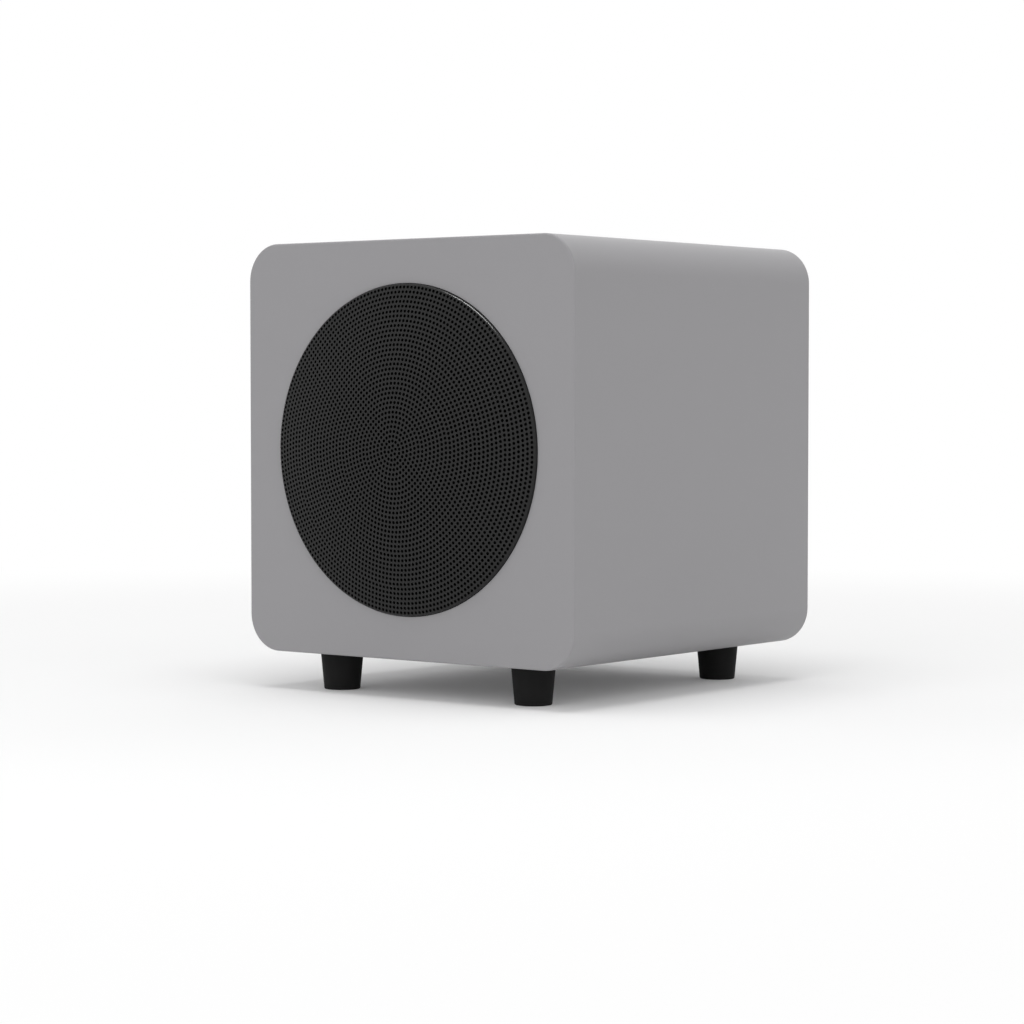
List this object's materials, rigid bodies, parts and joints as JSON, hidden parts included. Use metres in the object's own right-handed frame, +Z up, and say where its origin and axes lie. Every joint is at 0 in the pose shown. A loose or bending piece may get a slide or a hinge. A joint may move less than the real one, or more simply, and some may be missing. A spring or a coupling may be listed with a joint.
{
  "type": "powered subwoofer",
  "caption": "Compact cube-shaped powered subwoofer with rounded long edges, a domed round perforated front grille, rubber feet and a rear amplifier panel.",
  "frame": {"origin": "centre of the overall footprint, on the plane that the four feet stand on", "axes": "+Z up; the grille faces -Y, the amplifier panel faces +Y; +X is to the right seen from the front"},
  "size_m": [0.222, 0.2468, 0.243],
  "materials": {
    "cabinet_paint": "satin paint",
    "mdf": "raw",
    "rear_paint": "matt paint",
    "foam": "open cell",
    "rubber": "matt",
    "steel": "zinc plated",
    "grille_steel": "satin powder coat",
    "basket_coat": "black coat",
    "paper": "pressed pulp",
    "dust_cap": "matt",
    "spider_cloth": "impregnated cloth",
    "former": "film",
    "copper": "enamelled wire",
    "ferrite": "ground",
    "black_plastic": "moulded",
    "brass": "turned",
    "panel_coat": "fine textured coat",
    "black_screw": "black zinc",
    "alloy": "cast",
    "knob_plastic": "satin",
    "lever": "satin",
    "light_lens": "clear tinted",
    "white_plastic": "gloss",
    "red_plastic": "gloss",
    "fuse_body": "ceramic and nickel",
    "board": "solder mask",
    "transformer": "taped winding",
    "lead_sleeve": "one red and one black sleeve, satin"
  },
  "bodies": {
    "base": {"cabinet": "cabinet_paint", "front_baffle": "mdf", "rear_panel": "rear_paint", "damping_pads": "foam", "foot_front_left": "rubber", "foot_front_right": "rubber", "foot_rear_left": "rubber", "foot_rear_right": "rubber", "foot_washers": "steel", "foot_screws": "steel", "grille": "grille_steel", "grille_ring": "rubber", "basket": "basket_coat", "driver_gasket": "foam", "driver_screws": "steel", "trim_ring": "rubber", "surround": "rubber", "spider": "spider_cloth", "top_plate": "steel", "magnet": "ferrite", "back_plate": "steel", "terminal_strip": "black_plastic", "terminal_tabs": "brass", "amplifier_panel": "panel_coat", "panel_gasket": "foam", "panel_screws": "black_screw", "control_pots": "alloy", "pot_nuts": "steel", "slide_switches": "black_plastic", "status_light": "light_lens", "rca_block": "black_plastic", "rca_shells": "steel", "rca_insert_left": "white_plastic", "rca_insert_right": "red_plastic", "power_inlet": "black_plastic", "inlet_pins": "steel", "inlet_screws": "steel", "inlet_nuts": "steel", "rocker_frame": "black_plastic", "circuit_board": "board", "board_spacers": "brass", "board_screws": "steel", "capacitors": "black_plastic", "transformer": "transformer", "heat_sink": "alloy", "speaker_connector": "black_plastic", "speaker_leads": "lead_sleeve"},
    "cone_assembly": {"cone": "paper", "dust_cap": "dust_cap", "coil_former": "former", "voice_coil": "copper"},
    "volume": {"volume_knob": "knob_plastic", "volume_shaft": "alloy"},
    "crossover": {"crossover_knob": "knob_plastic", "crossover_shaft": "alloy"},
    "phase": {"phase_lever": "lever"},
    "mode": {"mode_lever": "lever"},
    "rocker": {"power_rocker": "black_plastic"},
    "fuse_holder": {"fuse_drawer": "black_plastic", "fuse": "fuse_body"}
  },
  "joints": [
    {"name": "cone_travel", "type": "slide", "parent": "base", "child": "cone_assembly", "axis": [0, -1, 0], "range_m": [-0.004, 0.004], "stiffness_N_per_m": 900, "deforming": ["surround", "spider"]},
    {"name": "volume_turn", "type": "hinge", "parent": "base", "child": "volume", "pos_m": [0.044, 0.1092, 0.188], "axis": [0, 1, 0], "range_deg": [-150, 150]},
    {"name": "crossover_turn", "type": "hinge", "parent": "base", "child": "crossover", "pos_m": [0, 0.1092, 0.188], "axis": [0, 1, 0], "range_deg": [-150, 150]},
    {"name": "phase_slide", "type": "slide", "parent": "base", "child": "phase", "axis": [-1, 0, 0], "range_m": [0, 0.004]},
    {"name": "mode_slide", "type": "slide", "parent": "base", "child": "mode", "axis": [-1, 0, 0], "range_m": [-0.0025, 0.0025]},
    {"name": "power_rock", "type": "hinge", "parent": "base", "child": "rocker", "pos_m": [-0.034, 0.1082, 0.082], "axis": [1, 0, 0], "range_deg": [0, 24]},
    {"name": "fuse_pull", "type": "slide", "parent": "base", "child": "fuse_holder", "axis": [0, 1, 0], "range_m": [0, 0.016]}
  ]
}
